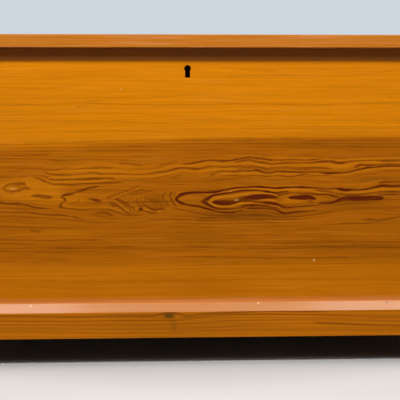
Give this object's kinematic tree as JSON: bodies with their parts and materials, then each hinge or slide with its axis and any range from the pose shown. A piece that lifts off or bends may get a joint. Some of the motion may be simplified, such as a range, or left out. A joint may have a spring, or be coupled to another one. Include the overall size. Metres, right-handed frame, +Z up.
{
  "type": "blanket chest",
  "caption": "Pine blanket chest with a hinged overhanging lid, dovetailed corners, a lock in the front board and a chamfered plinth on bracket feet.",
  "frame": {"origin": "on the floor, under the middle of the chest's overall box", "axes": "+X to the right along the front, +Y from the front to the back, +Z up; the keyhole is in the front, which faces -Y"},
  "size_m": [1.004, 0.514, 0.5308],
  "materials": {
    "front_wood": "varnished pine, wide flame figure",
    "carcass_wood": "varnished pine",
    "lid_wood": "varnished pine, worn edges",
    "plinth_wood": "varnished pine",
    "inner_wood": "bare planed pine",
    "hinge_iron": "blackened wrought iron",
    "screw_steel": "dulled steel",
    "lock_brass": "aged brass"
  },
  "bodies": {
    "carcass": {"front_board": "front_wood", "back_board": "carcass_wood", "left_end_board": "carcass_wood", "right_end_board": "carcass_wood", "bottom_board_1": "inner_wood", "bottom_board_2": "inner_wood", "bottom_board_3": "inner_wood", "bottom_board_4": "inner_wood", "bottom_board_5": "inner_wood", "plinth_front": "plinth_wood", "plinth_left": "plinth_wood", "plinth_right": "plinth_wood", "rear_foot_left": "plinth_wood", "rear_foot_right": "plinth_wood", "corner_block_front_left": "inner_wood", "corner_block_front_right": "inner_wood", "corner_block_rear_left": "inner_wood", "corner_block_rear_right": "inner_wood", "hinge_plate_left": "hinge_iron", "hinge_plate_right": "hinge_iron", "hinge_pin_left": "hinge_iron", "hinge_pin_right": "hinge_iron", "plate_screw_left_1": "screw_steel", "plate_screw_left_2": "screw_steel", "plate_screw_left_3": "screw_steel", "plate_screw_right_1": "screw_steel", "plate_screw_right_2": "screw_steel", "plate_screw_right_3": "screw_steel", "lock_plate": "lock_brass", "lock_case": "hinge_iron", "lock_key_pin": "screw_steel", "lock_spring": "screw_steel", "lock_screw_1": "lock_brass", "lock_screw_2": "lock_brass", "lock_screw_3": "lock_brass", "lock_screw_4": "lock_brass"},
    "lid": {"lid_board_front": "lid_wood", "lid_board_rear": "lid_wood", "lid_batten_left": "inner_wood", "lid_batten_right": "inner_wood", "batten_screw_left_1": "screw_steel", "batten_screw_left_2": "screw_steel", "batten_screw_left_3": "screw_steel", "batten_screw_right_1": "screw_steel", "batten_screw_right_2": "screw_steel", "batten_screw_right_3": "screw_steel", "hinge_strap_left": "hinge_iron", "hinge_strap_right": "hinge_iron", "strap_screw_left_1": "screw_steel", "strap_screw_left_2": "screw_steel", "strap_screw_left_3": "screw_steel", "strap_screw_right_1": "screw_steel", "strap_screw_right_2": "screw_steel", "strap_screw_right_3": "screw_steel", "lid_link_plate": "lock_brass", "link_screw_1": "lock_brass", "link_screw_2": "lock_brass"},
    "bolt": {"lock_bolt": "lock_brass"}
  },
  "joints": [
    {"name": "lid_hinge", "type": "hinge", "parent": "carcass", "child": "lid", "pos_m": [0, 0.2398, 0.5045], "axis": [-1, 0, 0], "range_deg": [0, 111]},
    {"name": "bolt_slide", "type": "slide", "parent": "carcass", "child": "bolt", "axis": [1, 0, 0], "range_m": [0, 0.006]}
  ]
}
